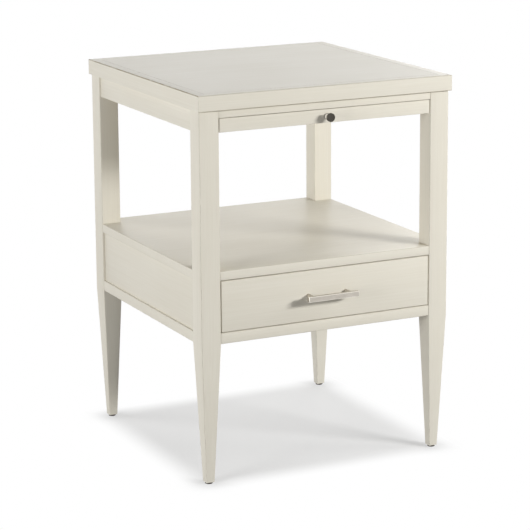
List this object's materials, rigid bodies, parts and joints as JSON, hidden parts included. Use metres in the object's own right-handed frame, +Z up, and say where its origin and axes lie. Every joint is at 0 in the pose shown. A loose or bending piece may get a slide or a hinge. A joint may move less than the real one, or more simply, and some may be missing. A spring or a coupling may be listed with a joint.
{
  "type": "nightstand",
  "caption": "Square cream nightstand on tapered legs with a pull-out tray under the top, an open bay and a drawer with a bar pull.",
  "frame": {"origin": "on the floor, under the middle of the whole outline, bar pull included", "axes": "+Z up, the drawer front faces -Y, +X is to the right seen from the front"},
  "size_m": [0.508, 0.5296, 0.7112],
  "materials": {
    "cream_lacquer": "satin cream lacquer with a fine grain showing through",
    "birch": "clear matt lacquer",
    "beech_dowel": "raw",
    "brushed_nickel": "brushed nickel",
    "pewter": "dark polished pewter",
    "zinc_steel": "zinc plated",
    "glide_brown": "dark brown"
  },
  "bodies": {
    "case": {"top_core": "cream_lacquer", "top_lipping_front": "cream_lacquer", "top_lipping_back": "cream_lacquer", "top_lipping_left": "cream_lacquer", "top_lipping_right": "cream_lacquer", "leg_front_left": "cream_lacquer", "leg_front_right": "cream_lacquer", "leg_back_left": "cream_lacquer", "leg_back_right": "cream_lacquer", "front_top_rail": "cream_lacquer", "apron_left": "cream_lacquer", "apron_right": "cream_lacquer", "apron_back": "cream_lacquer", "shelf": "cream_lacquer", "side_panel_left": "cream_lacquer", "side_panel_right": "cream_lacquer", "back_panel": "cream_lacquer", "bottom_board": "cream_lacquer", "tray_runner_left": "birch", "tray_runner_right": "birch", "slide_cleat_left": "birch", "slide_cleat_right": "birch", "apron_dowels": "beech_dowel", "case_dowels": "beech_dowel", "shelf_dowels": "beech_dowel", "top_screws": "zinc_steel", "tray_runner_screws": "zinc_steel", "board_screws": "zinc_steel", "slide_outer_left": "zinc_steel", "slide_outer_right": "zinc_steel", "slide_screws_case": "zinc_steel", "foot_glides": "glide_brown"},
    "tray": {"tray_panel": "cream_lacquer", "tray_front": "cream_lacquer", "tray_stop": "birch", "tray_stop_screws": "zinc_steel", "tray_knob": "pewter", "tray_knob_stud": "zinc_steel"},
    "drawer": {"drawer_front": "cream_lacquer", "drawer_box_front": "birch", "drawer_side_left": "birch", "drawer_side_right": "birch", "drawer_back": "birch", "drawer_bottom": "birch", "drawer_front_screws": "zinc_steel", "handle_bar": "brushed_nickel", "handle_posts": "brushed_nickel", "handle_screws": "zinc_steel", "slide_inner_left": "zinc_steel", "slide_inner_right": "zinc_steel", "slide_screws_drawer": "zinc_steel"},
    "middle_channel_left": {"slide_middle_left": "zinc_steel", "slide_balls_left": "zinc_steel"},
    "middle_channel_right": {"slide_middle_right": "zinc_steel", "slide_balls_right": "zinc_steel"}
  },
  "joints": [
    {"name": "tray_slide", "type": "slide", "parent": "case", "child": "tray", "axis": [0, -1, 0], "range_m": [0, 0.28]},
    {"name": "drawer_slide", "type": "slide", "parent": "case", "child": "drawer", "axis": [0, -1, 0], "range_m": [0, 0.38]},
    {"name": "middle_left_slide", "type": "slide", "parent": "case", "child": "middle_channel_left", "axis": [0, -1, 0], "range_m": [0, 0.19]},
    {"name": "middle_right_slide", "type": "slide", "parent": "case", "child": "middle_channel_right", "axis": [0, -1, 0], "range_m": [0, 0.19]}
  ],
  "couplings": [
    {"joint": "middle_left_slide", "follows": "drawer_slide", "ratio": 0.5},
    {"joint": "middle_right_slide", "follows": "drawer_slide", "ratio": 0.5}
  ]
}
